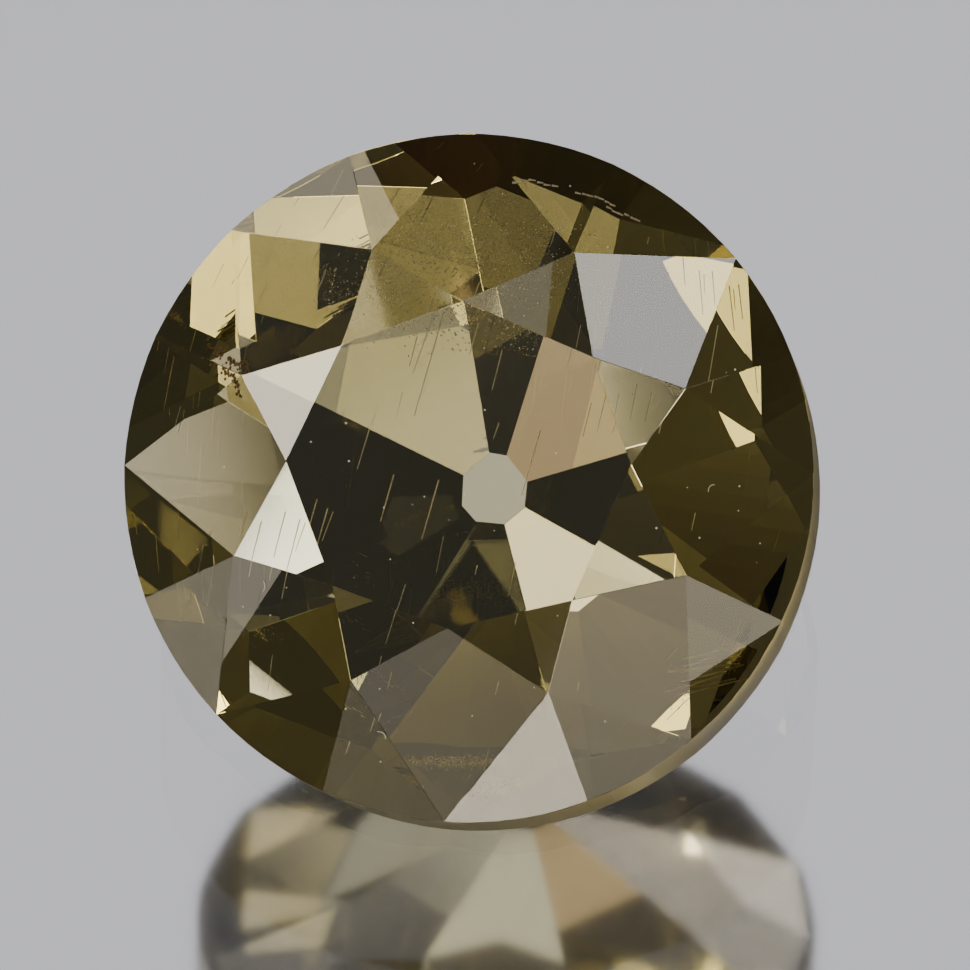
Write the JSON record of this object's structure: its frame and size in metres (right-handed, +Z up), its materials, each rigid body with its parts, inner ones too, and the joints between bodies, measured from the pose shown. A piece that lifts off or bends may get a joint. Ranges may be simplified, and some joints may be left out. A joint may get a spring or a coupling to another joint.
{
  "type": "cut diaspore gemstone",
  "caption": "Round brilliant cut diaspore, a loose see-through faceted stone that lies on a pavilion facet.",
  "frame": {"origin": "under the middle of the stone's bounding box, on the plane it lies on", "axes": "+Z up from the ground, the table faces up and towards -Y, the culet points down and towards +Y"},
  "size_m": [0.0066, 0.0066, 0.0046],
  "materials": {
    "diaspore": "polished"
  },
  "bodies": {
    "root": {"diaspore_gem": "diaspore"}
  },
  "joints": []
}
